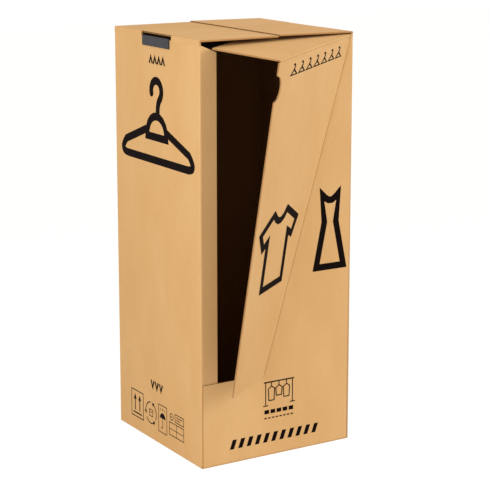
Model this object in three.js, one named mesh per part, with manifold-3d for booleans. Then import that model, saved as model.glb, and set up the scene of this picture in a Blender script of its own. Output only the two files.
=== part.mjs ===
// Wardrobe moving box: a tall corrugated carton with a corner door and a hanging rail.
// Millimetres, +Z up. The origin is the middle of the underside, the door faces -Y.
import * as THREE from 'three';
import { mergeVertices } from 'three/addons/utils/BufferGeometryUtils.js';
import Module from 'manifold-3d';

const wasm = await Module();
wasm.setup();

// Carton sizes
const width = 510;
const length = 510;
const height = 1230;
const board = 4.5;
const foldRadius = 6;
const creaseRadius = 3.5;
const arcSteps = 5;

// Clearances
const touchGap = 0.3;
const kerf = 1;
const cornerSlot = 3;
const lidGap = 3.3;
const seamGap = 2.4;

// Lap joint at the front left corner
const lapWidth = 54;
const lapDrop = 9;
const lapSlant = 23;
const rawEdgeInset = 4;

// Flaps
const flapSlant = 22;
const minorDepth = 252;
const topSeamX = 3;
const bottomSeamX = 10;

// Door: cut from the front panel and folded on a slanting score
const doorSill = 249.5;
const scoreFootX = -46;
const doorOpen = 34.6;
const doorMoreOpen = 70;
const flapRatio = 0.24;
const notchBelowTop = 79;
const notchHalfHeight = 36;
const notchDepth = 31;
const cornerRound = 3;

// Hanging rail and the slots that hold it
const barY = -5;
const slotWidth = 176;
const slotDepth = 14;
const slotReach = 5.5;
const tabWidth = 158;
const tabDrop = 25;
const tabThickness = 3;
const railWidth = 22;
const railHeight = 30;
const railWeb = 5;
const railTop = 38;

// Print: thin fields of ink
const inkThickness = 0.25;
const hangerY = -3;
const hangerTop = 125;
const hangerHalfWidth = 222;
const inkStroke = 23;
const motifStroke = 20;
const motifZ = 655;
const motifHeight = 220;
const shirtX = -95;
const shirtWidth = 240;
const dressInset = 75;
const dressWidth = 96;

// Heights and half sizes worked out from the sizes above
const halfX = width / 2;
const halfY = length / 2;
const cornerEnd = foldRadius + 1;
const cornerX = halfX - cornerEnd;
const sideTop = height - board - touchGap;
const minorTop = height - board - lidGap;
const lapFace = -halfY + board;
const slotFloor = height - slotDepth;

// One closed outline from [x, y, radius] corners; a radius of 0 leaves the corner sharp
function outline(corners) {
  const shape = new THREE.Shape();
  corners.forEach(([x, y, radius], i) => {
    const corner = new THREE.Vector2(x, y);
    const before = corners[(i + corners.length - 1) % corners.length];
    const after = corners[(i + 1) % corners.length];
    const start = new THREE.Vector2(before[0], before[1]).sub(corner).setLength(radius).add(corner);
    const end = new THREE.Vector2(after[0], after[1]).sub(corner).setLength(radius).add(corner);
    if (i === 0) {
      shape.moveTo(start.x, start.y);
    } else {
      shape.lineTo(start.x, start.y);
    }
    if (radius > 0) {
      shape.quadraticCurveTo(x, y, end.x, end.y);
    }
  });
  return shape;
}

// A sheet of board or ink: an outline given a thickness along +Z
function sheet(shape, thickness) {
  return new THREE.ExtrudeGeometry(shape, { depth: thickness, bevelEnabled: false, curveSegments: arcSteps });
}

// An outline drawn in X and Z becomes a panel whose outer face looks along -Y
function frontPanel(shape, thickness, outerY) {
  return sheet(shape, thickness).rotateX(Math.PI / 2).translate(0, outerY + thickness, 0);
}

// An outline drawn in Y and Z becomes a bar of that section along X
function alongX(shape, fromX, toX) {
  return sheet(shape, toX - fromX).rotateX(Math.PI / 2).rotateZ(Math.PI / 2).translate(fromX, 0, 0);
}

// An outline drawn in X and Z becomes a bar of that section along Y
function alongY(shape, fromY, toY) {
  return frontPanel(shape, toY - fromY, fromY);
}

function block(from, to) {
  const size = to.map((value, i) => value - from[i]);
  const middle = to.map((value, i) => (value + from[i]) / 2);
  return new THREE.BoxGeometry(...size).translate(...middle);
}

function solid(geometry) {
  const plain = geometry.clone();
  plain.deleteAttribute('normal');
  plain.deleteAttribute('uv');
  const merged = mergeVertices(plain, 1e-4);
  const vertProperties = new Float32Array(merged.attributes.position.array);
  const triVerts = new Uint32Array(merged.index.array);
  return new wasm.Manifold(new wasm.Mesh({ numProp: 3, vertProperties, triVerts }));
}

function joined(geometries) {
  return geometries.map(solid).reduce((whole, piece) => whole.add(piece));
}

function cutAway(whole, geometries) {
  return geometries.map(solid).reduce((rest, piece) => rest.subtract(piece), whole);
}

function geometryOf(manifold) {
  const { vertProperties, triVerts } = manifold.getMesh();
  const geometry = new THREE.BufferGeometry();
  geometry.setAttribute('position', new THREE.BufferAttribute(vertProperties, 3));
  geometry.setIndex(new THREE.BufferAttribute(triVerts, 1));
  geometry.computeVertexNormals();
  return geometry;
}

function mesh(name, geometry, material) {
  const piece = new THREE.Mesh(geometry, material);
  piece.name = name;
  return piece;
}

const kraft = new THREE.MeshStandardMaterial({ color: 0xe2b880, roughness: 0.85, metalness: 0 });
const kraftDoor = new THREE.MeshStandardMaterial({ color: 0xe8c184, roughness: 0.85, metalness: 0 });
const blackPlastic = new THREE.MeshStandardMaterial({ color: 0x303038, roughness: 0.45, metalness: 0 });
const blackInk = new THREE.MeshStandardMaterial({ color: 0x1c1614, roughness: 0.7, metalness: 0 });

// Score of the door: from its foot on the sill to the top right corner of the front
const scoreFoot = new THREE.Vector3(scoreFootX, -halfY, doorSill);
const scoreHead = new THREE.Vector3(cornerX, -halfY, minorTop);
const scoreAxis = scoreHead.clone().sub(scoreFoot).normalize();
const scoreSlope = scoreAxis.x / scoreAxis.z;

function scoreX(z) {
  return scoreFootX + (z - doorSill) * scoreSlope;
}

// The folded wall: glue lap, left, back and right sides, and the turn into the front
function wallGeometry() {
  const inside = foldRadius - board;
  const section = outline([
    [-halfX + lapWidth, lapFace, 0],
    [-halfX + lapWidth, lapFace + board, 0],
    [-halfX + board, lapFace + board, inside],
    [-halfX + board, halfY - board, inside],
    [halfX - board, halfY - board, inside],
    [halfX - board, -halfY + board, inside],
    [cornerX, -halfY + board, 0],
    [cornerX, -halfY, 0],
    [halfX, -halfY, foldRadius],
    [halfX, halfY, foldRadius],
    [-halfX, halfY, foldRadius],
    [-halfX, lapFace, foldRadius],
  ]);
  return sheet(section, sideTop - board).translate(0, 0, board);
}

// The fixed part of the front: a low panel and the triangle right of the score
function fixedFrontGeometry() {
  const beside = touchGap / 2;
  const sill = doorSill - kerf;
  const leftX = -halfX + rawEdgeInset;
  const shape = outline([
    [leftX, board, 0],
    [cornerX, board, 0],
    [cornerX, minorTop - kerf, 0],
    [scoreX(minorTop - kerf) + beside, minorTop - kerf, 0],
    [scoreX(sill) + beside, sill, 0],
    [leftX, sill, 0],
  ]);
  return frontPanel(shape, board, -halfY);
}

// A minor flap lying inwards (+Y) from its crease at y = 0, top at z = 0, with slanted sides
function minorFlap(leftX, rightX) {
  const draw = minorDepth * Math.tan(THREE.MathUtils.degToRad(flapSlant));
  const plan = sheet(outline([
    [leftX, 0, 0],
    [rightX, 0, 0],
    [rightX - draw, minorDepth, cornerRound],
    [leftX + draw, minorDepth, cornerRound],
  ]), board).translate(0, 0, -board);
  const crease = alongX(outline([
    [0, 0, creaseRadius],
    [0, -board, 0],
    [minorDepth + 1, -board, 0],
    [minorDepth + 1, 0, 0],
  ]), leftX - 1, rightX + 1);
  return geometryOf(solid(plan).intersect(solid(crease)));
}

// Bottom flaps: minors from front and back lie on majors from left and right
function bottomGeometries() {
  const gap = kerf / 2;
  const major = (side, seamX) => alongY(outline([
    [side * halfX, board, 0],
    [side * halfX, 0, creaseRadius],
    [seamX, 0, 0],
    [seamX, board, 0],
  ]), -halfY + cornerSlot, halfY - cornerSlot);
  const inner = halfX - board - cornerSlot;
  return [
    major(-1, bottomSeamX - gap),
    major(1, bottomSeamX + gap),
    block([-inner, -halfY + board / 2, board], [inner, -gap, 2 * board]),
    block([-inner, gap, board], [inner, halfY - board / 2, 2 * board]),
  ];
}

function cartonBody() {
  const whole = joined([
    wallGeometry(),
    fixedFrontGeometry(),
    ...bottomGeometries(),
  ]);
  const slotFrom = barY - slotWidth / 2;
  const slotTo = barY + slotWidth / 2;
  const lapFrom = -halfX + board + touchGap;
  const lapTo = -halfX + lapWidth + 1;
  const lapFall = (lapTo - lapFrom) * Math.tan(THREE.MathUtils.degToRad(lapSlant));
  const aboveLap = alongY(outline([
    [lapFrom, sideTop - lapDrop, 0],
    [lapTo, sideTop - lapDrop - lapFall, 0],
    [lapTo, height, 0],
    [lapFrom, height, 0],
  ]), -halfY, lapFace + board + 1);
  const trimmed = cutAway(whole, [
    block([-halfX - 1, slotFrom, slotFloor], [-halfX + board + 1, slotTo, height]),
    block([halfX - board - 1, slotFrom, slotFloor], [halfX + 1, slotTo, height]),
    block([-cornerX, halfY - board - 1, minorTop - board], [cornerX, halfY + 1, height]),
    aboveLap,
  ]);
  const flapEnd = cornerX - cornerSlot;
  const backFlap = minorFlap(-flapEnd, flapEnd).rotateZ(Math.PI).translate(0, halfY, minorTop);
  return geometryOf(trimmed.add(solid(backFlap)));
}

// A major top flap, closed: crease along one side edge, free edge at the seam,
// and a cut-out at the crease over the rail's slot
function majorFlap(side, seamX) {
  const flap = alongY(outline([
    [side * halfX, height - board, 0],
    [side * halfX, height, creaseRadius],
    [seamX, height, 0],
    [seamX, height - board, 0],
  ]), -halfY + cornerSlot, halfY - cornerSlot);
  const outer = side * (halfX + 1);
  const inner = side * (halfX - slotReach);
  const cut = block(
    [Math.min(outer, inner), barY - slotWidth / 2, height - board - 1],
    [Math.max(outer, inner), barY + slotWidth / 2, height + 1],
  );
  return geometryOf(cutAway(solid(flap), [cut]));
}

// The door lies in the front panel when shut. Its top is bevelled, so that its flap can fold down.
function frontDoor() {
  const beside = touchGap / 2;
  const steepest = THREE.MathUtils.degToRad((doorOpen + doorMoreOpen) * flapRatio);
  const topZ = minorTop - board / Math.cos(steepest) - touchGap;
  const leftX = -halfX + rawEdgeInset;
  const notchZ = minorTop - notchBelowTop;
  const shape = new THREE.Shape();
  shape.moveTo(leftX, doorSill);
  shape.lineTo(scoreX(doorSill) - beside, doorSill);
  shape.lineTo(scoreX(topZ) - beside, topZ);
  shape.lineTo(leftX, topZ);
  shape.lineTo(leftX, notchZ + notchHalfHeight);
  shape.absellipse(leftX, notchZ, notchDepth, notchHalfHeight, Math.PI / 2, -Math.PI / 2, true);
  shape.closePath();
  const swept = { depth: board, bevelEnabled: false, curveSegments: 4 * arcSteps };
  const slab = new THREE.ExtrudeGeometry(shape, swept)
    .rotateX(Math.PI / 2)
    .translate(0, -halfY + board, 0);
  const bevel = alongX(outline([
    [-halfY, topZ, 0],
    [-halfY + 2 * board, topZ - 2 * board * Math.tan(steepest), 0],
    [-halfY + 2 * board, topZ + board, 0],
    [-halfY, topZ + board, 0],
  ]), leftX - 1, halfX);
  return geometryOf(cutAway(solid(slab), [bevel]));
}

// Moulded rail: a wide hooked end over each side wall, a gusset and a flanged beam between them
function hangingBar() {
  const reach = halfX + touchGap + tabThickness;
  const saddleTop = slotFloor + tabThickness;
  const innerX = halfX - board - touchGap;
  const railZ = height - railTop;
  const ends = [-1, 1].flatMap((side) => {
    const gussetX = [side * innerX, side * (innerX - tabThickness)];
    const plate = (fromX, toX, fromZ, toZ) => block(
      [Math.min(side * fromX, side * toX), barY - tabWidth / 2, fromZ],
      [Math.max(side * fromX, side * toX), barY + tabWidth / 2, toZ],
    );
    const gusset = alongX(outline([
      [barY - tabWidth / 2, slotFloor - tabDrop, 0],
      [barY - railWidth / 2, railZ - railHeight, 0],
      [barY + railWidth / 2, railZ - railHeight, 0],
      [barY + tabWidth / 2, slotFloor - tabDrop, 0],
    ]), Math.min(...gussetX), Math.max(...gussetX));
    return [
      plate(reach - tabThickness, reach, slotFloor - tabDrop, saddleTop),
      plate(innerX - tabThickness, reach, slotFloor, saddleTop),
      plate(innerX - tabThickness, innerX, slotFloor - tabDrop, saddleTop),
      gusset,
    ];
  });
  const half = railWidth / 2;
  const web = railWeb / 2;
  const beam = alongX(outline([
    [barY - half, railZ, 1],
    [barY - half, railZ - railWeb, 1],
    [barY - web, railZ - railWeb, 1],
    [barY - web, railZ - railHeight + railWeb, 1],
    [barY - half, railZ - railHeight + railWeb, 1],
    [barY - half, railZ - railHeight, 1],
    [barY + half, railZ - railHeight, 1],
    [barY + half, railZ - railHeight + railWeb, 1],
    [barY + web, railZ - railHeight + railWeb, 1],
    [barY + web, railZ - railWeb, 1],
    [barY + half, railZ - railWeb, 1],
    [barY + half, railZ, 1],
  ]), -innerX + tabThickness, innerX - tabThickness);
  return geometryOf(joined([...ends, beam]));
}

// A band of ink of one width along a line of points; a loop runs anticlockwise
function inkBand(line, stroke, loop) {
  const points = loop && THREE.ShapeUtils.isClockWise(line) ? [...line].reverse() : line;
  const count = points.length;
  const edge = (side) => points.map((point, i) => {
    const before = points[loop ? (i + count - 1) % count : Math.max(i - 1, 0)];
    const after = points[loop ? (i + 1) % count : Math.min(i + 1, count - 1)];
    const into = point.clone().sub(before).normalize();
    const out = after.clone().sub(point).normalize();
    const along = into.clone().add(out).normalize();
    const spread = Math.max(along.dot(into), along.dot(out), 0.5);
    const normal = new THREE.Vector2(-along.y, along.x);
    return point.clone().addScaledVector(normal, (side * stroke) / (2 * spread));
  });
  if (!loop) {
    return sheet(new THREE.Shape([...edge(1), ...edge(-1).reverse()]), inkThickness);
  }
  const shape = new THREE.Shape(edge(-1));
  shape.holes.push(new THREE.Path(edge(1)));
  return sheet(shape, inkThickness);
}

function inkDot(x, y, radius) {
  const disc = new THREE.CylinderGeometry(radius, radius, inkThickness, 4 * arcSteps);
  return disc.rotateX(Math.PI / 2).translate(x, y, inkThickness / 2);
}

// Clothes hanger, drawn from its middle line and the top of its hook
function hangerInk() {
  const ringTop = -115;
  const ringHalf = 57;
  const ringFoot = -176;
  const barZ = -244;
  const shoulderZ = -203;
  const ringControl = ringFoot + (ringTop - ringFoot) * 4 / 3;
  const hookRadius = 30;
  const hookZ = -hookRadius - inkStroke / 2;
  const hook = new THREE.Path();
  hook.absarc(0, hookZ, hookRadius, 1.08 * Math.PI, -0.2 * Math.PI, true);
  hook.bezierCurveTo(10, hookZ - 34, 8, hookZ - 36, 6, ringTop);
  const ring = new THREE.Path();
  ring.moveTo(-ringHalf, ringFoot);
  ring.bezierCurveTo(-ringHalf, ringControl, ringHalf, ringControl, ringHalf, ringFoot);
  ring.closePath();
  const frame = new THREE.Path();
  frame.moveTo(-ringHalf, ringFoot + 20);
  frame.lineTo(-hangerHalfWidth + 34, shoulderZ);
  frame.quadraticCurveTo(-hangerHalfWidth - 12, barZ, -hangerHalfWidth + 50, barZ);
  frame.lineTo(hangerHalfWidth - 50, barZ);
  frame.quadraticCurveTo(hangerHalfWidth + 12, barZ, hangerHalfWidth - 34, shoulderZ);
  frame.lineTo(ringHalf, ringFoot + 20);
  const hookStart = hook.getPoint(0);
  const ringLine = ring.getPoints(2 * arcSteps);
  const drawing = joined([
    inkBand(hook.getPoints(2 * arcSteps), inkStroke, false),
    inkDot(hookStart.x, hookStart.y, inkStroke / 2),
    inkBand(ringLine.slice(0, -1), inkStroke, true),
    inkBand(frame.getPoints(2 * arcSteps), inkStroke, false),
  ]);
  return geometryOf(drawing)
    .rotateX(Math.PI / 2)
    .rotateZ(-Math.PI / 2)
    .translate(-halfX, hangerY, height - hangerTop);
}

// Short-sleeved shirt, a closed line round its middle
function shirtInk() {
  const w = shirtWidth / 2;
  const h = motifHeight / 2;
  const line = new THREE.Path();
  line.moveTo(-w * 0.56, -h);
  line.lineTo(w * 0.56, -h);
  line.lineTo(w * 0.56, h * 0.34);
  line.lineTo(w * 0.8, h * 0.2);
  line.lineTo(w, h * 0.6);
  line.lineTo(w * 0.36, h);
  line.quadraticCurveTo(0, h * 0.52, -w * 0.36, h);
  line.lineTo(-w, h * 0.6);
  line.lineTo(-w * 0.8, h * 0.2);
  line.lineTo(-w * 0.56, h * 0.34);
  return inkBand(line.getPoints(arcSteps), motifStroke, true);
}

// Sleeveless dress, a closed line round its middle
function dressInk() {
  const w = dressWidth / 2;
  const h = motifHeight / 2;
  const line = new THREE.Path();
  line.moveTo(-w, -h);
  line.lineTo(w, -h);
  line.lineTo(w * 0.42, h * 0.22);
  line.lineTo(w * 0.62, h);
  line.quadraticCurveTo(0, h * 0.6, -w * 0.62, h);
  line.lineTo(-w * 0.42, h * 0.22);
  return inkBand(line.getPoints(arcSteps), motifStroke, true);
}

// Assembly: everything that stays put, then the flaps, then the door with its own flap
const box = new THREE.Group();
box.add(mesh('carton_body', cartonBody(), kraft));
box.add(mesh('left_top_flap', majorFlap(-1, topSeamX - seamGap / 2), kraft));
box.add(mesh('right_top_flap', majorFlap(1, topSeamX + seamGap / 2), kraft));
box.add(mesh('hanging_bar', hangingBar(), blackPlastic));
box.add(mesh('hanger_print', hangerInk(), blackInk));

const dressPrint = dressInk().rotateX(Math.PI / 2).translate(halfX - dressInset, -halfY, motifZ);
box.add(mesh('panel_print', dressPrint, blackInk));

const door = new THREE.Group();
door.position.copy(scoreFoot);
door.quaternion.setFromAxisAngle(scoreAxis, THREE.MathUtils.degToRad(doorOpen));
box.add(door);

function onDoor(geometry) {
  return geometry.translate(-scoreFoot.x, -scoreFoot.y, -scoreFoot.z);
}

door.add(mesh('front_door', onDoor(frontDoor()), kraftDoor));
const shirtPrint = shirtInk().rotateX(Math.PI / 2).translate(shirtX, -halfY - touchGap, motifZ);
door.add(mesh('door_print', onDoor(shirtPrint), blackInk));

const doorFlap = new THREE.Group();
doorFlap.position.set(-scoreFoot.x, -halfY - scoreFoot.y, minorTop - scoreFoot.z);
doorFlap.rotation.x = -THREE.MathUtils.degToRad(doorOpen * flapRatio);
doorFlap.add(mesh('front_top_flap', minorFlap(-cornerX, cornerX - cornerSlot), kraftDoor));
door.add(doorFlap);

export default box;
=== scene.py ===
import math

import bmesh
import bpy
from mathutils import Matrix, Vector, noise


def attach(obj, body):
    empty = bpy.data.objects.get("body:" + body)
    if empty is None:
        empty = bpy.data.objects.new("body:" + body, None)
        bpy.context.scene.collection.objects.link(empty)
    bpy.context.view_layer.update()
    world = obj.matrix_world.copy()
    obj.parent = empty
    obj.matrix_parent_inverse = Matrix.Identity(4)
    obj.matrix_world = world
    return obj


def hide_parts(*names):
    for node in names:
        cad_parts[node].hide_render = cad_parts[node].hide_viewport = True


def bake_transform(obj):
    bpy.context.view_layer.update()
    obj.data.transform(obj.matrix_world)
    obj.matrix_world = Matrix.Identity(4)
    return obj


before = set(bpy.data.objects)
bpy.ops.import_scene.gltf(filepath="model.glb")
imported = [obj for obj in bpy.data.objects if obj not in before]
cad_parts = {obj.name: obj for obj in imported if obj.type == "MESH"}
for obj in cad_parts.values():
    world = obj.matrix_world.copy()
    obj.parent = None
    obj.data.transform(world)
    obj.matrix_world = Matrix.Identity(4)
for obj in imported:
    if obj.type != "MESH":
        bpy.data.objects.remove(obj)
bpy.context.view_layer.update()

# The studio: a long lens at the photograph's angle, a pale floor and soft light.
# One big soft box lights the left side, and one to the right of the camera lights the door
# and leaves the lap behind it in soft shade. The room gives an even fill from all round.
MM = 0.001
IMAGE_SIDE = 490
FOCAL_PIXELS = 1637.1
AXIS_BELOW_TOP = 205
CAMERA_PLACE = Vector((-2479.2, -4106.6, 1685.7)) * MM
CAMERA_AZIMUTH = math.radians(-31.58)
CAMERA_TILT = math.radians(11.58)
SENSOR = 36


def linear(hex_colour, alpha=1.0):
    """An sRGB hex colour as the linear values that a shader socket takes."""
    channels = [int(hex_colour[i : i + 2], 16) / 255 for i in (1, 3, 5)]
    curve = [c / 12.92 if c <= 0.04045 else ((c + 0.055) / 1.055) ** 2.4 for c in channels]
    return (*curve, alpha)


def add_node(tree, kind, inputs=None, **settings):
    """One shader node with its settings. An input is a value, an output, or a node's first output."""
    node = tree.nodes.new(kind)
    for name, value in settings.items():
        setattr(node, name, value)
    for name, value in (inputs or {}).items():
        given = value.outputs[0] if isinstance(value, bpy.types.Node) else value
        if isinstance(given, bpy.types.NodeSocket):
            tree.links.new(given, node.inputs[name])
        else:
            node.inputs[name].default_value = given
    return node


def empty_material(name):
    material = bpy.data.materials.new(name)
    material.use_nodes = True
    material.node_tree.nodes.clear()
    return material, material.node_tree


lens = bpy.data.cameras.new("studio_lens")
lens.sensor_width = SENSOR
lens.lens = FOCAL_PIXELS * SENSOR / IMAGE_SIDE
lens.shift_y = (AXIS_BELOW_TOP - IMAGE_SIDE / 2) / IMAGE_SIDE
lens.clip_end = 60
camera = bpy.data.objects.new("studio_camera", lens)
camera.location = CAMERA_PLACE
camera.rotation_euler = (math.pi / 2 - CAMERA_TILT, 0, CAMERA_AZIMUTH)
bpy.context.scene.collection.objects.link(camera)
bpy.context.scene.camera = camera

SOFT_BOX_SIZE = (1.8, 2.2)


def soft_box(name, place, target, watts):
    light = bpy.data.lights.new(name, "AREA")
    light.color = linear("#f6faff")[:3]
    light.shape = "RECTANGLE"
    light.size, light.size_y = SOFT_BOX_SIZE
    light.energy = watts
    lamp = bpy.data.objects.new(name, light)
    lamp.location = place
    lamp.rotation_euler = (Vector(target) - Vector(place)).to_track_quat("-Z", "Y").to_euler()
    bpy.context.scene.collection.objects.link(lamp)


soft_box("left_soft_box", (-3.2, -1.9, 2.3), (-0.2, 0, 1.0), 76)
soft_box("right_soft_box", (3.0, -2.7, 2.4), (0, -0.2, 1.1), 72)


def shown(tree):
    """One for a ray that comes from the lens or off a shiny or clear piece, and nought for fill light."""
    rays = add_node(tree, "ShaderNodeLightPath").outputs
    seen = add_node(
        tree, "ShaderNodeMath", {0: rays["Is Camera Ray"], 1: rays["Is Glossy Ray"]}, operation="MAXIMUM",
    )
    return add_node(tree, "ShaderNodeMath", {0: seen, 1: rays["Is Transmission Ray"]}, operation="MAXIMUM")


world = bpy.data.worlds.new("studio_room")
world.use_nodes = True
room = world.node_tree
room.nodes.clear()
fill = add_node(room, "ShaderNodeBackground", {"Color": linear("#ffeacd"), "Strength": 0.6})
white = add_node(room, "ShaderNodeBackground", {"Color": linear("#ffffff"), "Strength": 1.0})
either = add_node(room, "ShaderNodeMixShader", {0: shown(room), 1: fill, 2: white})
add_node(room, "ShaderNodeOutputWorld", {"Surface": either})
bpy.context.scene.world = world
bpy.context.scene.view_settings.view_transform = "Standard"

# Floor: a seamless sweep of white paper. To the lens it glows for the greater share, so it
# shows as white and keeps only the carton's own soft shadow. It lights the carton as plain paper.
FLOOR_REACH = 12
GLOW_SHARE = 0.8
GLOW_STRENGTH = 1.16


def finished(bm, name, *materials):
    """The object that a bmesh has become, with its place in its mesh."""
    mesh = bpy.data.meshes.new(name)
    bm.to_mesh(mesh)
    bm.free()
    for material in materials:
        mesh.materials.append(material)
    piece = bpy.data.objects.new(name, mesh)
    bpy.context.scene.collection.objects.link(piece)
    return piece


floor_paint, tree = empty_material("white paper sweep")
share = add_node(tree, "ShaderNodeMath", {0: shown(tree), 1: GLOW_SHARE}, operation="MULTIPLY")
paper = add_node(tree, "ShaderNodeBsdfDiffuse", {"Color": linear("#d9d9dc")})
glow = add_node(tree, "ShaderNodeEmission", {"Color": linear("#ffffff"), "Strength": GLOW_STRENGTH})
both = add_node(tree, "ShaderNodeMixShader", {0: share, 1: paper, 2: glow})
add_node(tree, "ShaderNodeOutputMaterial", {"Surface": both})
bm = bmesh.new()
bmesh.ops.create_grid(bm, x_segments=1, y_segments=1, size=FLOOR_REACH)
floor = finished(bm, "floor", floor_paint)

# Carton blank: single-wall corrugated board, brown kraft liners either side of a fluted core.
# The flutes run up the sides and across each flap's crease. The outside is smooth kraft,
# the inside a recycled liner, a little darker in its own tone and darker still as painted shade
# for the dark inside of the carton. The cut edges show the flutes between the liners.
BOARD = 4.5
HALF = 255
PANEL_END = 247
FLUTE_PITCH = 7.6
WELD = 0.002


def fibre_noise(tree, sheet, across, along, detail):
    """Noise drawn out along the grain: across and along are the sizes of one mark in millimetres."""
    marks = (1 / (across * MM), 1 / (along * MM), 1)
    stretch = add_node(tree, "ShaderNodeMapping", {"Vector": sheet, "Scale": marks})
    return add_node(
        tree, "ShaderNodeTexNoise", {"Vector": stretch, "Scale": 1.0, "Detail": detail, "Roughness": 0.6},
    )


def shaded(tree, colour, shade, pattern, low, high, most=1.0):
    """A colour that turns to a shade, to a share of most, where the pattern rises from low to high."""
    amount = add_node(
        tree, "ShaderNodeMapRange", {"Value": pattern, "From Min": low, "From Max": high, "To Max": most},
    )
    mix = add_node(tree, "ShaderNodeMix", {0: amount, 6: colour, 7: linear(shade)}, data_type="RGBA")
    return mix.outputs[2]


def kraft_liner(name, base, dark, pale, roughness):
    """Kraft paper: long fibres, cloudy pulp, dark specks and the faint ribs of the flutes beneath.
    It is matt, a touch smoother along its fibres. Only every second flute is drawn as a rib."""
    material, tree = empty_material(name)
    sheet = add_node(tree, "ShaderNodeUVMap", uv_map="board")
    clouds = fibre_noise(tree, sheet, 150, 330, 2.0)
    pulp = fibre_noise(tree, sheet, 9, 14, 4.0)
    fibres = fibre_noise(tree, sheet, 0.9, 9, 2.0)
    specks = fibre_noise(tree, sheet, 2.2, 3.4, 1.0)
    rib_pitch = 2 * FLUTE_PITCH * MM
    ribs = add_node(
        tree, "ShaderNodeTexWave", {"Vector": sheet, "Scale": math.pi / (10 * rib_pitch)},
        wave_type="BANDS", bands_direction="X", wave_profile="SIN",
    ).outputs[1]
    colour = shaded(tree, linear(dark), pale, clouds, 0.36, 0.64)
    even = add_node(tree, "ShaderNodeMix", {0: 0.8, 6: colour, 7: linear(base)}, data_type="RGBA")
    colour = even.outputs[2]
    colour = shaded(tree, colour, dark, pulp, 0.3, 0.7, 0.14)
    colour = shaded(tree, colour, pale, fibres, 0.5, 0.74, 0.16)
    colour = shaded(tree, colour, "#8a5a2c", specks, 0.68, 0.76, 0.35)
    colour = shaded(tree, colour, dark, ribs, 0.0, 1.0, 0.035)
    height = add_node(tree, "ShaderNodeMath", {0: ribs, 1: fibres}, operation="ADD")
    bump = add_node(tree, "ShaderNodeBump", {"Height": height, "Strength": 0.12, "Distance": 0.00035})
    rough = add_node(tree, "ShaderNodeMapRange", {
        "Value": fibres, "From Min": 0.2, "From Max": 0.8,
        "To Min": roughness - 0.06, "To Max": roughness + 0.06,
    })
    shader = add_node(tree, "ShaderNodeBsdfPrincipled", {
        "Base Color": colour, "Roughness": rough, "Normal": bump, "IOR": 1.45,
        "Specular IOR Level": 0.35,
    })
    add_node(tree, "ShaderNodeOutputMaterial", {"Surface": shader})
    return material


def cut_edge(name):
    """The cut through the board: two liners, and the wave of the core with painted shade in the open flutes
    beside it. Depths are shares of the board's thickness, and the torn fibres make the paper pale and
    rough."""
    material, tree = empty_material(name)
    place = add_node(tree, "ShaderNodeUVMap", uv_map="board")
    along, through, _ = add_node(tree, "ShaderNodeSeparateXYZ", {"Vector": place}).outputs
    turn = add_node(
        tree, "ShaderNodeMath", {0: along, 1: 2 * math.pi / (FLUTE_PITCH * MM)}, operation="MULTIPLY",
    )
    wave = add_node(tree, "ShaderNodeMath", {0: turn}, operation="SINE")
    middle = add_node(tree, "ShaderNodeMath", {0: wave, 1: 0.36, 2: 0.5}, operation="MULTIPLY_ADD")
    away = add_node(tree, "ShaderNodeMath", {0: through, 1: middle}, operation="SUBTRACT")
    away = add_node(tree, "ShaderNodeMath", {0: away}, operation="ABSOLUTE")
    core = add_node(
        tree, "ShaderNodeMapRange",
        {"Value": away, "From Min": 0.1, "From Max": 0.18, "To Min": 1.0, "To Max": 0.0},
    )
    side = add_node(tree, "ShaderNodeMath", {0: through, 1: 0.5}, operation="SUBTRACT")
    side = add_node(tree, "ShaderNodeMath", {0: side}, operation="ABSOLUTE")
    liner = add_node(tree, "ShaderNodeMapRange", {"Value": side, "From Min": 0.34, "From Max": 0.4})
    paper = add_node(tree, "ShaderNodeMath", {0: core, 1: liner}, operation="MAXIMUM")
    torn = fibre_noise(tree, place, 5, 0.4, 3.0)
    pale = shaded(tree, linear("#b3834e"), "#e2bb88", torn, 0.3, 0.7)
    # Open flutes: where there is no paper, the edge is painted dark brown as the shade inside the hollows.
    mix = add_node(tree, "ShaderNodeMix", {0: paper, 6: linear("#4a3019"), 7: pale}, data_type="RGBA")
    bump = add_node(tree, "ShaderNodeBump", {"Height": paper, "Strength": 0.6, "Distance": 0.0008})
    shader = add_node(tree, "ShaderNodeBsdfPrincipled", {
        "Base Color": mix.outputs[2], "Roughness": 0.92, "Normal": bump, "IOR": 1.45,
        "Specular IOR Level": 0.2,
    })
    add_node(tree, "ShaderNodeOutputMaterial", {"Surface": shader})
    return material


outside = kraft_liner("kraft liner, outside", "#e5ba80", "#d5a467", "#f0cc97", 0.74)
# Inside liner: a recycled liner a little darker than the outside, drawn darker still as painted shade
# inside the carton.
inside = kraft_liner("recycled liner, inside", "#8c643c", "#7a542f", "#9c7449", 0.88)
raw_edge = cut_edge("fluted board, cut edge")
along_flutes = kraft_liner("fluted board, cut along a flute", "#b88a56", "#946a3c", "#d0a470", 0.9)

X, Y, Z = Vector((1, 0, 0)), Vector((0, 1, 0)), Vector((0, 0, 1))
OUTER, INNER, EDGE, ALONG_FLUTES = 0, 1, 2, 3


def lay_board(bm, panel_of):
    """The liner or the cut edge on each face, in metres along the sheet or through its thickness."""
    sheet = bm.loops.layers.uv.new("board")
    for face in bm.faces:
        flute, skin, kind = panel_of(face.calc_center_median() / MM, face.normal)
        face.material_index = kind
        depths = [loop.vert.co.dot(skin) for loop in face.loops]
        along = face.normal.cross(skin)
        spans = sorted(edge.calc_length() for edge in face.edges)
        face.smooth = kind == OUTER and spans[0] < 3 * MM
        for loop, depth in zip(face.loops, depths):
            corner = loop.vert.co
            if kind != EDGE:
                loop[sheet].uv = (corner.dot(flute.cross(skin)), corner.dot(flute))
            elif abs(along.dot(flute)) > 0.7:
                face.material_index = ALONG_FLUTES
                loop[sheet].uv = (depth, corner.dot(along))
            else:
                loop[sheet].uv = (corner.dot(along), (depth - min(depths)) / (BOARD * MM))


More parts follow.
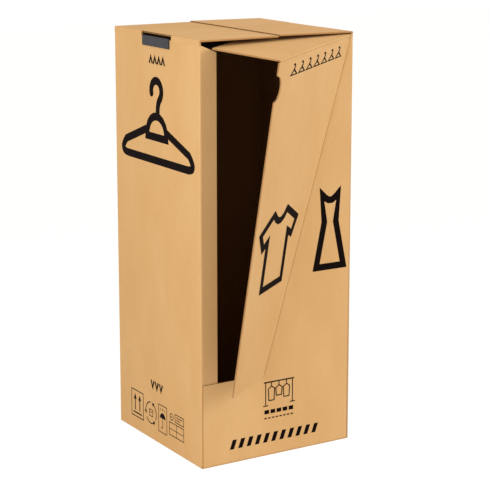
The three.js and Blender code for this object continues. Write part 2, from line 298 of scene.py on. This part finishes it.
def welded(node):
    """A CAD node's loose triangles, merged into whole flat faces in a bmesh of their own."""
    bm = bmesh.new()
    bm.from_mesh(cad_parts[node].data)
    bmesh.ops.remove_doubles(bm, verts=bm.verts, dist=WELD * MM)
    bmesh.ops.dissolve_limit(bm, angle_limit=math.radians(1), verts=bm.verts, edges=bm.edges)
    return bm


def board_piece(node, body, panel_of):
    """A sheet of board in place of a CAD node. panel_of gives a face's flute direction, its outward
    normal and which of the three surfaces it is; the pattern is laid on the face from them."""
    bm = welded(node)
    for side in (-1, 1):
        for axis in (X, Y):
            bmesh.ops.bisect_plane(
                bm, geom=bm.verts[:] + bm.edges[:] + bm.faces[:], dist=0.01 * MM,
                plane_co=axis * side * PANEL_END * MM, plane_no=axis,
            )
    lay_board(bm, panel_of)
    piece = finished(bm, f"{node}_board", outside, inside, raw_edge, along_flutes)
    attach(piece, body)
    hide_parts(node)
    return piece


# Fixed part of the carton: three sides, the low front with its triangle, the glued lap,
# the bottom flaps and the rear top flap, all one sheet folded round.
LAP_EDGE_X = -201
RAW_EDGE_X = -251
SCORE_FROM_X = -50
BOTTOM_TOP = 9.5
SIDE_TOP = 1225.2
REAR_FLAP_TOP = 1222.2
REAR_FLAP_INSET = 6
SLOT_CLEAR = 20
NEAR = 0.2


def body_panel(centre, normal):
    """The lie of the board at a face, from its centre in millimetres and its normal."""
    x, y, z = centre
    out = X * math.copysign(1, x) if abs(x) > abs(y) else Y * math.copysign(1, y)
    if z < BOTTOM_TOP and abs(normal.z) > 0.5:
        on_major = z < BOARD + NEAR
        return (X if on_major else Y), Z, (OUTER if normal.z < 0 else INNER)
    at_flap_height = REAR_FLAP_TOP - BOARD - NEAR < z < REAR_FLAP_TOP + NEAR
    if at_flap_height and abs(x) < HALF - REAR_FLAP_INSET and 0 < y < HALF - NEAR:
        return Y, Z, (OUTER if normal.z > 0.3 else INNER if normal.z < -0.3 else EDGE)
    in_front = y < -HALF + BOARD
    at_lap_edge = normal.x > 0.9 and abs(x - LAP_EDGE_X) < 0.5
    at_door_cut = normal.x < -0.9 and in_front and (abs(x - RAW_EDGE_X) < 0.5 or x > SCORE_FROM_X)
    if at_lap_edge or at_door_cut:
        return Z, -Y, EDGE
    in_rail_slot = abs(normal.y) > 0.9 and abs(x) > HALF - BOARD and abs(y) < HALF - SLOT_CLEAR
    if abs(normal.z) > 0.9 or in_rail_slot:
        return Z, out, EDGE
    on_lap = y < -HALF + 2 * BOARD and normal.y < -0.5
    outward = on_lap or max(abs(x), abs(y)) > HALF - BOARD / 2
    if abs(normal.x) > abs(normal.y):
        skin = X * math.copysign(1, normal.x)
    else:
        skin = Y * math.copysign(1, normal.y)
    return Z, skin, (OUTER if outward else INNER)


board_piece("carton_body", "carton", body_panel)


# Lid: two major flaps on the side panels' top creases. They meet on the middle line
# and rest on the minor flaps; nothing holds them down.
def lid_panel(centre, normal):
    faces_out = abs(normal.x) > 0.05 and normal.x * centre.x > 0
    on_crease = abs(centre.x) > HALF - 4 and abs(normal.y) < 0.5 and faces_out
    if normal.z > 0.3 or on_crease:
        return X, Z, OUTER
    return X, Z, (INNER if normal.z < -0.3 else EDGE)


board_piece("left_top_flap", "left_flap", lid_panel)
right_lid = board_piece("right_top_flap", "right_flap", lid_panel)

# Spring of the board: the right flap's free edge stays a little above the left one's,
# which opens a dark line along the seam.
LID_SPRING = 3.2
for vertex in right_lid.data.vertices:
    vertex.co.z += LID_SPRING * MM * max(0, 1 - vertex.co.x / (PANEL_END * MM))

# Door: cut free along its left edge and its sill, and folded outwards on a slanting score.
# It stands part open, as it springs back when it is let go.
DOOR_SILL = 249.5
SCORE_FOOT = Vector((-46, -HALF, DOOR_SILL))
SCORE_HEAD = Vector((248, -HALF, REAR_FLAP_TOP))
DOOR_OPEN = math.radians(34.6)
FLAP_RATIO = 0.24
score_line = (SCORE_HEAD - SCORE_FOOT).normalized()
swing = (
    Matrix.Translation(SCORE_FOOT * MM)
    @ Matrix.Rotation(DOOR_OPEN, 4, score_line)
    @ Matrix.Translation(-SCORE_FOOT * MM)
)
door_turn = swing.to_3x3()


def door_panel(centre, normal):
    facing = normal.dot(door_turn @ -Y)
    kind = OUTER if facing > 0.6 else INNER if facing < -0.6 else EDGE
    return door_turn @ Z, door_turn @ -Y, kind


board_piece("front_door", "door", door_panel)

# Top flap of the door: folded in over the opening, it slides under the lid as the door swings.
# It turns back on its crease by a share of the door's angle, which keeps it under the lid.
crease = Matrix.Translation(Vector((0, -HALF, REAR_FLAP_TOP)) * MM)
fold = swing @ crease @ Matrix.Rotation(-DOOR_OPEN * FLAP_RATIO, 4, "X") @ crease.inverted()
flap_turn = fold.to_3x3()


def door_flap_panel(centre, normal):
    up = normal.dot(flap_turn @ Z)
    front = normal.dot(flap_turn @ -Y)
    kind = OUTER if up > 0.3 or (front > 0.3 and up > 0.05) else INNER if up < -0.3 else EDGE
    return flap_turn @ Y, flap_turn @ Z, kind


board_piece("front_top_flap", "door_flap", door_flap_panel)

# Creases: the liner runs on unbroken over each crease, so a strip of it bends between the panels.
# Each strip is a row of points across the crease, repeated along it, a hair proud of the board.
LINER_RISE = 0.15
SEATED_RISE = 0.03
CREASE_RADIUS = 3.5
CREASE_FOOT = 16
CREASE_STEPS = 12
LID_TOP = 1230
SIDE_CREASES = ((-252, -93), (83, 252))


def smooth_step(share):
    """A share of a turn, eased in and out, and held from nought to one."""
    share = min(max(share, 0), 1)
    return share * share * (3 - 2 * share)


def face_outwards(bm, outward):
    """Turns all the faces of a strip the way that its first one should look."""
    bm.normal_update()
    bm.faces.ensure_lookup_table()
    if bm.faces[0].normal.dot(outward) < 0:
        bmesh.ops.reverse_faces(bm, faces=bm.faces[:])


def liner_strip(name, rows, materials, outward, crushed_and_shaded=()):
    """Liner across a crease, given as rows of points. The faces whose numbers are given last, counted
    across the strip, take the second material; at the score that is a darker liner, pressed paper with
    painted shade."""
    bm = bmesh.new()
    sheet = bm.loops.layers.uv.new("board")
    grid = [[bm.verts.new(Vector(point) * MM) for point in row] for row in rows]
    across = [0.0]
    for before, after in zip(grid[0], grid[0][1:]):
        across.append(across[-1] + (after.co - before.co).length)
    along = 0.0
    for first, second in zip(grid, grid[1:]):
        ahead = along + (second[0].co - first[0].co).length
        for i in range(len(first) - 1):
            face = bm.faces.new((first[i], first[i + 1], second[i + 1], second[i]))
            face.smooth = True
            face.material_index = int(i in crushed_and_shaded)
            near, far = across[i], across[i + 1]
            for loop, place in zip(face.loops, ((along, near), (along, far), (ahead, far), (ahead, near))):
                loop[sheet].uv = place
        along = ahead
    face_outwards(bm, outward)
    strip = finished(bm, name, *materials)
    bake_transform(strip)


def rounded_crease():
    """Points across a crease, as distances inwards and upwards from its sharp outer corner."""
    wall = [(-SEATED_RISE, -CREASE_FOOT), (-LINER_RISE, -CREASE_FOOT + 3), (-LINER_RISE, -CREASE_FOOT / 2)]
    reach = CREASE_RADIUS + LINER_RISE
    bend = []
    for i in range(7):
        turn = math.radians(180 - 15 * i)
        bend.append((CREASE_RADIUS + reach * math.cos(turn), -CREASE_RADIUS + reach * math.sin(turn)))
    top = [(7, LINER_RISE), (11, LINER_RISE), (13, SEATED_RISE)]
    return wall + bend + top


for side, flap in ((-1, "left"), (1, "right")):
    for part, (low_y, high_y) in enumerate(SIDE_CREASES):
        stations = [low_y + (high_y - low_y) * i / CREASE_STEPS for i in range(CREASE_STEPS + 1)]
        rows = [[(side * (HALF - x), y, LID_TOP + z) for x, z in rounded_crease()] for y in stations]
        liner_strip(
            f"{flap}_crease_outside_{part}", rows,
            [outside], X * side,
        )
        rim = SIDE_TOP + 0.06
        underside = SIDE_TOP + 0.24
        inner = HALF - BOARD + 0.1
        outer = HALF - 0.15
        turned = [(outer, rim + (underside - rim) * i / 10) for i in range(11)]
        line = [(inner, rim), *turned, (inner, underside)]
        rows = [[(side * x, y, z) for x, z in line] for y in stations]
        liner_strip(
            f"{flap}_crease_inside_{part}", rows,
            [inside], Z,
        )

# Crease between the door and its top flap: the same strip of liner, drawn narrower towards
# the flap's slanted ends, and turned with both to where the door stands open.
FLAP_SLANT = math.tan(math.radians(22))
DOOR_TOP_ENDS = (-247.7, 244.4)
DOOR_TOP_STEPS = 24
corner_from = Vector((0, -HALF - LINER_RISE, REAR_FLAP_TOP - 6))
corner_to = Vector((0, -HALF + 7, REAR_FLAP_TOP + LINER_RISE))
corner_run = corner_to - corner_from
rows = []
for i in range(DOOR_TOP_STEPS + 1):
    row = []
    for depth, rise in rounded_crease():
        inset = max(depth, 0) * FLAP_SLANT
        low_x = DOOR_TOP_ENDS[0] + inset
        high_x = DOOR_TOP_ENDS[1] - inset
        x = low_x + (high_x - low_x) * i / DOOR_TOP_STEPS
        point = Vector((x, -HALF + depth, REAR_FLAP_TOP + rise))
        share = smooth_step((point - corner_from).dot(corner_run) / corner_run.length_squared)
        bend = crease @ Matrix.Rotation(-DOOR_OPEN * FLAP_RATIO * share, 4, "X") @ crease.inverted()
        row.append((swing @ bend @ (point * MM)) / MM)
    rows.append(row)
liner_strip(
    "door_top_crease", rows,
    [outside], door_turn @ -Y,
)

# Slanting score of the door: a blunt rule pressed it into the board, so the liner bends
# into a valley. The paper along it is drawn a shade darker, partly as pressed paper and partly as painted
# shade in the valley.
SCORE_REACH = 14
SCORE_BEND = 3
SCORE_START = 2
SCORE_STEPS = 40
SCORE_POINTS = (1, 0.8, 0.4, 0.21, 0.14, 0.07, 0, -0.07, -0.14, -0.21, -0.4, -0.8, -1)
# Score liner: darker than the outside, partly pressed paper and partly painted shade along the valley.
score_liner_pressed_and_shaded = kraft_liner("kraft liner, crushed at a score", "#c2945c", "#ad7f4a", "#d2a66e", 0.8)
score_across = Vector((score_line.z, 0, -score_line.x))
score_end = (REAR_FLAP_TOP - 10 - DOOR_SILL) / score_line.z
rows = []
for i in range(SCORE_STEPS + 1):
    middle = SCORE_FOOT + score_line * (SCORE_START + (score_end - SCORE_START) * i / SCORE_STEPS)
    room = min(SCORE_REACH, (HALF - 8 - middle.x) / score_across.x)
    row = []
    for share in SCORE_POINTS:
        away = share * (room if share > 0 else SCORE_REACH)
        rise = LINER_RISE if abs(share) < 1 else SEATED_RISE
        bent = DOOR_OPEN * smooth_step((SCORE_BEND - away) / (2 * SCORE_BEND))
        place = middle + score_across * away - Y * rise - SCORE_FOOT
        row.append(SCORE_FOOT + Matrix.Rotation(bent, 3, score_line) @ place)
    rows.append(row)
liner_strip(
    "door_score", rows,
    [outside, score_liner_pressed_and_shaded], -Y, crushed_and_shaded=(4, 5, 6, 7),
)

# Torn edge: the door was pushed out of its perforation, which tore the outer liner
# and left a fringe of pale kraft fibres along the cut and round the finger notch.
DOOR_EDGE_X = -251
NOTCH_Z = REAR_FLAP_TOP - 79
NOTCH_HALF_HEIGHT = 36
NOTCH_DEPTH = 31
NOTCH_STEPS = 40
TEAR_STEP = 3
TEAR_FOOT = 252
TEAR_ABOVE_NOTCH = 1183
TEAR_HEAD = 1214
TEAR_DEPTH = 0.15
ROOT = 0.6
FRINGE_LEVEL = Vector((0, -HALF + TEAR_DEPTH, 0))
torn_paper, tree = empty_material("torn kraft fibre")
where = add_node(tree, "ShaderNodeTexCoord").outputs["Object"]
fuzz = add_node(tree, "ShaderNodeTexNoise", {"Vector": where, "Scale": 1 / (1.5 * MM), "Detail": 3.0})
colour = shaded(tree, linear("#c0925a"), "#ecd0a4", fuzz, 0.3, 0.7)
shader = add_node(tree, "ShaderNodeBsdfPrincipled", {"Base Color": colour, "Roughness": 0.95})
add_node(tree, "ShaderNodeOutputMaterial", {"Surface": shader})

below_notch = range(TEAR_FOOT, int(NOTCH_Z - NOTCH_HALF_HEIGHT), TEAR_STEP)
edge_path = [Vector((DOOR_EDGE_X, 0, z)) for z in below_notch]
for i in range(NOTCH_STEPS + 1):
    angle = math.pi * (i / NOTCH_STEPS - 0.5)
    x = DOOR_EDGE_X + NOTCH_DEPTH * math.cos(angle)
    edge_path.append(Vector((x, 0, NOTCH_Z + NOTCH_HALF_HEIGHT * math.sin(angle))))
edge_path += [Vector((DOOR_EDGE_X, 0, z)) for z in range(TEAR_ABOVE_NOTCH, TEAR_HEAD, TEAR_STEP)]
bm = bmesh.new()
pairs = []
for i, point in enumerate(edge_path):
    before = edge_path[max(i - 1, 0)]
    after = edge_path[min(i + 1, len(edge_path) - 1)]
    along = (after - before).normalized()
    outward = Vector((-along.z, 0, along.x))
    rough = abs(noise.noise(point * 0.23)) + 0.6 * abs(noise.noise(point * 1.3))
    ends = (point - outward * ROOT, point + outward * (ROOT + 3.2 * rough))
    pairs.append([bm.verts.new(swing @ ((place + FRINGE_LEVEL) * MM)) for place in ends])
for (root, tip), (next_root, next_tip) in zip(pairs, pairs[1:]):
    bm.faces.new((root, next_root, next_tip, tip))
face_outwards(bm, door_turn @ -Y)
fringe = finished(bm, "torn_edge", torn_paper)
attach(fringe, "door")

# Hanging rail: one moulding in black polypropylene, hooked over both side walls in their slots.
# The spark-eroded mould leaves a fine grain and a low sheen, and handling leaves pale scuffs.
RAIL_BEVEL = 0.5
rail_plastic, tree = empty_material("moulded black polypropylene")
where = add_node(tree, "ShaderNodeTexCoord").outputs["Object"]
grain = add_node(tree, "ShaderNodeTexNoise", {"Vector": where, "Scale": 1 / (0.8 * MM), "Detail": 2.0})
scuffs = add_node(tree, "ShaderNodeTexNoise", {"Vector": where, "Scale": 1 / (18 * MM), "Detail": 4.0})
colour = shaded(tree, linear("#111118"), "#1a1a24", scuffs, 0.4, 0.7)
rough = add_node(
    tree, "ShaderNodeMapRange",
    {"Value": scuffs, "From Min": 0.3, "From Max": 0.7, "To Min": 0.42, "To Max": 0.54},
)
bump = add_node(tree, "ShaderNodeBump", {"Height": grain, "Strength": 0.25, "Distance": 0.0002})
shader = add_node(
    tree, "ShaderNodeBsdfPrincipled", {"Base Color": colour, "Roughness": rough, "Normal": bump},
)
add_node(tree, "ShaderNodeOutputMaterial", {"Surface": shader})
bm = welded("hanging_bar")
sharp = [edge for edge in bm.edges if edge.calc_face_angle(0) > math.radians(40)]
bmesh.ops.bevel(
    bm, geom=sharp, offset=RAIL_BEVEL * MM, segments=2, profile=0.5, affect="EDGES",
    clamp_overlap=True, material=-1,
)
rail = finished(bm, "rail", rail_plastic)
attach(rail, "carton")
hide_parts("hanging_bar")

# Print: one black flexo ink, a little mottled, and quite matt.
# The figures are the carton's own pictograms, each a thin film on its panel.
ink, tree = empty_material("black flexo ink on kraft")
where = add_node(tree, "ShaderNodeTexCoord").outputs["Object"]
mottle = add_node(tree, "ShaderNodeTexNoise", {"Vector": where, "Scale": 1 / (3 * MM), "Detail": 3.0})
colour = shaded(tree, linear("#0c0504"), "#170b08", mottle, 0.45, 0.75)
rough = add_node(
    tree, "ShaderNodeMapRange",
    {"Value": mottle, "From Min": 0.3, "From Max": 0.7, "To Min": 0.6, "To Max": 0.75},
)
shader = add_node(
    tree, "ShaderNodeBsdfPrincipled",
    {"Base Color": colour, "Roughness": rough, "Specular IOR Level": 0.04},
)
add_node(tree, "ShaderNodeOutputMaterial", {"Surface": shader})
for node in ("hanger_print", "door_print", "panel_print"):
    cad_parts[node].data.materials.clear()
    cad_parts[node].data.materials.append(ink)

# Small marks: rows of plain signs and the usual handling pictograms, drawn flat on the liner.
# A drawing has its own plane: x to the right and y up, as someone looks at that panel.
FILM_RISE = 0.3


def panel_plane(origin, right, up):
    """The place and turn of a drawing on a panel."""
    turn = Matrix((right, up, right.cross(up))).transposed().to_4x4()
    return Matrix.Translation(Vector(origin) * MM) @ turn


left_face = panel_plane((-HALF - FILM_RISE, 0, 0), -Y, Z)
front_face = panel_plane((0, -HALF - FILM_RISE, 0), X, Z)
door_face = swing @ front_face


def stroke(line, width, closed=False):
    """Quads of one width along a line of points, mitred where it turns."""
    points = [Vector(point) for point in line]
    count = len(points)
    sides = []
    for i, point in enumerate(points):
        before = points[i - 1] if closed or i > 0 else point
        after = points[(i + 1) % count] if closed or i < count - 1 else point
        into, out = (point - before).normalized(), (after - point).normalized()
        along = (into + out).normalized()
        spread = max(along.dot(into), along.dot(out), 0.5)
        normal = Vector((-along.y, along.x)) * width / (2 * spread)
        sides.append((point - normal, point + normal))
    quads = []
    for i in range(count if closed else count - 1):
        (near, far), (next_near, next_far) = sides[i], sides[(i + 1) % count]
        quads.append([near, next_near, next_far, far])
    return quads


def on_circle(x, y, radius, degrees):
    turn = math.radians(degrees)
    return x + radius * math.cos(turn), y + radius * math.sin(turn)


def arc(x, y, radius, start, stop, steps=16):
    return [on_circle(x, y, radius, start + (stop - start) * i / steps) for i in range(steps + 1)]


def box_outline(left, low, right, high):
    return [(left, low), (right, low), (right, high), (left, high)]


def chevron(x, low, high):
    """Two strokes that meet at the height high: upwards where it is above low, or else down."""
    return stroke([(x - 9, low), (x, high), (x + 9, low)], 7.5)


def printed(name, body, plane, shapes):
    """One film of ink from flat shapes, each a list of corners in the panel's plane."""
    bm = bmesh.new()
    for shape in shapes:
        face = bm.faces.new([bm.verts.new(plane @ (Vector((*point, 0)) * MM)) for point in shape])
        face.normal_update()
        if face.normal.dot(plane.to_3x3() @ Z) < 0:
            face.normal_flip()
    film = finished(bm, name, ink)
    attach(film, body)


# Ends of the left side: chevrons that point up near the top and down near the bottom,
# so that whoever carries the carton keeps it upright.
shapes = []
for x in (-28, -4, 20, 44):
    shapes += chevron(x, 1141, 1161)
for x in (-40, -14, 12):
    shapes += chevron(x, 187, 165)
printed("end_marks", "carton", left_face, shapes)

# Handling pictograms, low on the left side: first two arrows up, with the ground under them,
# and then three arcs with arrow heads that run round a small box.
LOOP = (-52, 82)
shapes = stroke(box_outline(-176, 44, -101, 127), 3, True)
shapes += stroke([(-166, 56), (-111, 56)], 4.5)
for x in (-153, -124):
    shapes += stroke([(x, 64), (x, 100)], 5)
    shapes.append([(x - 9, 98), (x + 9, 98), (x, 116)])
for i in range(3):
    head = 178 + 120 * i
    shapes += stroke(arc(*LOOP, 33, head - 84, head), 3.5)
    shapes.append([on_circle(*LOOP, 40, head), on_circle(*LOOP, 33, head + 22), on_circle(*LOOP, 26, head)])
shapes += stroke(box_outline(-63, 72, -41, 92), 2.5, True)
shapes += stroke([(-63, 84), (-41, 84)], 2)

# Beside them an umbrella under three drops, and an empty table with a ringed dash and a small
# label above it. They share one film with the first two.
shapes += stroke(box_outline(-4, 40, 46, 124), 2.5, True)
shapes.append(arc(21, 84, 17, 0, 180))
shapes += stroke([(21, 84), (21, 60), *arc(17, 58, 4, 0, -170, 6)], 2.5)
for x in (10, 21, 32):
    shapes += stroke([(x, 107), (x - 2, 115)], 2.5)
shapes += stroke(box_outline(62, 49, 148, 88), 2.5, True)
shapes += stroke([(62, 68), (148, 68)], 2)
shapes += stroke([(105, 49), (105, 88)], 2)
shapes += stroke(arc(76, 106, 10, 0, 345), 2.5, True)
shapes += stroke([(71, 106), (81, 106)], 2.5)
shapes += stroke(box_outline(97, 96, 148, 120), 2.5, True)
shapes += stroke([(104, 112), (141, 112)], 2.5)
shapes += stroke([(104, 104), (128, 104)], 2.5)
printed("handling_marks", "carton", left_face, shapes)

# Low on the front: a garment rail over two rows of dashes, and a band of slanting bars.
# They are printed below the door, on the part that stays put.
shapes = stroke([(-47, 224), (58, 224)], 4)
for x in (-41, 52):
    shapes += stroke([(x, 154), (x, 224)], 3)
    shapes += stroke([(x - 9, 153), (x + 9, 153)], 3)
for x, hem in ((-21, 168), (5, 180), (31, 172)):
    coat = [(x - 9, hem), (x + 9, hem), (x + 11, 203), (x, 211), (x - 11, 203)]
    shapes += stroke(coat, 3.2, True)
    shapes += stroke([(x, 211), (x, 222)], 3)
for i in range(5):
    shapes.append(box_outline(-45 + 21 * i, 128, -29 + 21 * i, 140))
for i in range(8):
    shapes.append(box_outline(-45 + 13 * i, 113, -37 + 13 * i, 117))
for i in range(11):
    x = -163 + 28.3 * i
    shapes.append([(x, 42), (x + 14, 42), (x + 24, 70), (x + 10, 70)])
printed("front_marks", "carton", front_face, shapes)

# Top of the door: a row of small coat hangers, as a sign of what hangs inside.
# It is printed across the door alone and swings out with it.
shapes = []
for i in range(7):
    x = -146 + 52 * i
    shapes += stroke([(x - 20, 1167), (x + 20, 1167), (x, 1181)], 6, True)
    shapes += stroke([(x, 1181), *arc(x, 1190, 6, -90, 150, 8)], 5.5)
printed("door_marks", "door", door_face, shapes)
